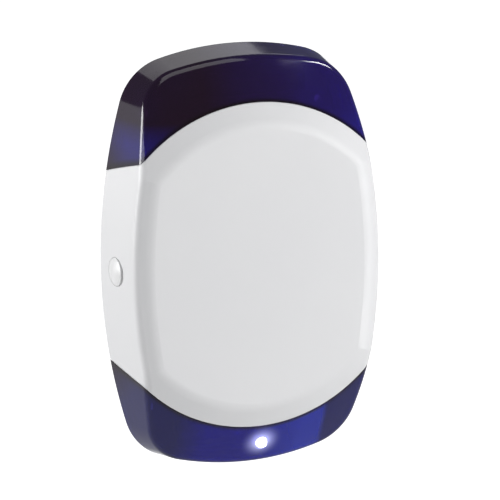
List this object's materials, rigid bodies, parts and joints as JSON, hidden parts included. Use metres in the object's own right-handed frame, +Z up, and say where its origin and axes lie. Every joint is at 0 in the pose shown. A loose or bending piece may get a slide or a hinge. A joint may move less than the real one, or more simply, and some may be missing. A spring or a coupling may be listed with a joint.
{
  "type": "alarm siren",
  "caption": "Wall-mounted alarm sounder: hinged white front cover between two blue strobe lenses, with a side lock screw under a plug, tamper switches and a lit status light.",
  "frame": {"origin": "centre of the wall-bolt pattern on the wall plane", "axes": "+Z up, -Y out from the wall towards the viewer, +X to the viewer's right"},
  "size_m": [0.1977, 0.056, 0.3],
  "materials": {
    "white_shell": "smooth white powder coat",
    "blue_lens": "translucent deep blue",
    "clear_pipe": "clear, lit",
    "white_plug": "smooth white",
    "base_plastic": "fine matt white",
    "seal_rubber": "matt black",
    "grommet_rubber": "matt black",
    "steel": "brushed",
    "screw_steel": "zinc plated",
    "insert_brass": "knurled",
    "board_green": "solder mask",
    "black_component": "moulded black",
    "relay_blue": "moulded blue",
    "terminal_green": "moulded green",
    "capacitor_sleeve": "dark sleeve",
    "coil_ferrite": "ferrite and copper",
    "jumper_cap": "red links",
    "socket_cream": "natural nylon",
    "switch_black": "black",
    "plunger_plastic": "acetal",
    "spring_steel": "wire",
    "sounder_plastic": "black ABS",
    "disc_brass": "thin disc with ceramic centre",
    "led_clear": "clear epoxy",
    "reflector_chrome": "bright",
    "cell_sleeve": "shrink sleeve",
    "strap_plastic": "white nylon",
    "vial_green": "yellow-green vial",
    "lead_jacket": "black PVC"
  },
  "bodies": {
    "base": {"back_plate": "base_plastic", "cover_seal": "seal_rubber", "cable_grommet": "grommet_rubber", "level_vial": "vial_green", "brass_insert": "insert_brass", "hinge_pin": "steel", "circuit_board": "board_green", "board_screws": "screw_steel", "terminal_block": "terminal_green", "terminal_screws": "screw_steel", "relay": "relay_blue", "microcontroller": "black_component", "capacitors": "capacitor_sleeve", "step_up_coil": "coil_ferrite", "jumper_header": "black_component", "jumper_links": "jumper_cap", "lead_sockets": "socket_cream", "tamper_switch": "switch_black", "tamper_spring": "spring_steel", "wall_tamper_spring": "spring_steel", "wall_tamper_switch": "switch_black", "sounder_housing": "sounder_plastic", "piezo_disc": "disc_brass", "sounder_horn": "sounder_plastic", "sounder_screws": "screw_steel", "upper_strobe_board": "board_green", "lower_strobe_board": "board_green", "upper_strobe_leds": "led_clear", "lower_strobe_leds": "led_clear", "upper_reflector": "reflector_chrome", "lower_reflector": "reflector_chrome", "strobe_screws": "screw_steel", "status_led": "led_clear", "battery_cells": "cell_sleeve", "battery_strap": "strap_plastic", "battery_lead": "lead_jacket", "sounder_lead": "lead_jacket", "upper_strobe_lead": "lead_jacket", "lower_strobe_lead": "lead_jacket"},
    "cover": {"front_cover": "white_shell", "upper_lens": "blue_lens", "lower_lens": "blue_lens", "lens_screws": "screw_steel", "status_light_pipe": "clear_pipe"},
    "plug": {"screw_cap": "white_plug"},
    "screw_washer": {"screw_o_ring": "seal_rubber"},
    "screw": {"cover_screw": "steel"},
    "tamper": {"tamper_plunger": "plunger_plastic"},
    "wall_tamper": {"wall_tamper_plunger": "plunger_plastic"}
  },
  "joints": [
    {"name": "cover_swing", "type": "hinge", "parent": "base", "child": "cover", "pos_m": [0.0938, -0.013, 0], "axis": [0, 0, 1], "range_deg": [0, 90]},
    {"name": "plug_pull", "type": "slide", "parent": "cover", "child": "plug", "axis": [-1, 0, 0], "range_m": [0, 0.012]},
    {"name": "screw_feed", "type": "slide", "parent": "cover", "child": "screw_washer", "axis": [1, 0, 0], "range_m": [0, 0.0088]},
    {"name": "screw_turn", "type": "hinge", "parent": "screw_washer", "child": "screw", "pos_m": [-0.08, -0.0253, 0], "axis": [1, 0, 0], "range_deg": [0, 4526]},
    {"name": "tamper_release", "type": "slide", "parent": "base", "child": "tamper", "axis": [0, -1, 0], "range_m": [0, 0.003], "deforming": ["tamper_spring"]},
    {"name": "wall_tamper_release", "type": "slide", "parent": "base", "child": "wall_tamper", "axis": [0, 1, 0], "range_m": [0, 0.003], "stiffness_N_per_m": 200, "springref_m": 0.006, "deforming": ["wall_tamper_spring"]}
  ],
  "couplings": [
    {"joint": "screw_turn", "follows": "screw_feed", "rad_per_m": 8976},
    {"joint": "tamper_release", "follows": "cover_swing", "m_per_rad": 0.0019098}
  ]
}
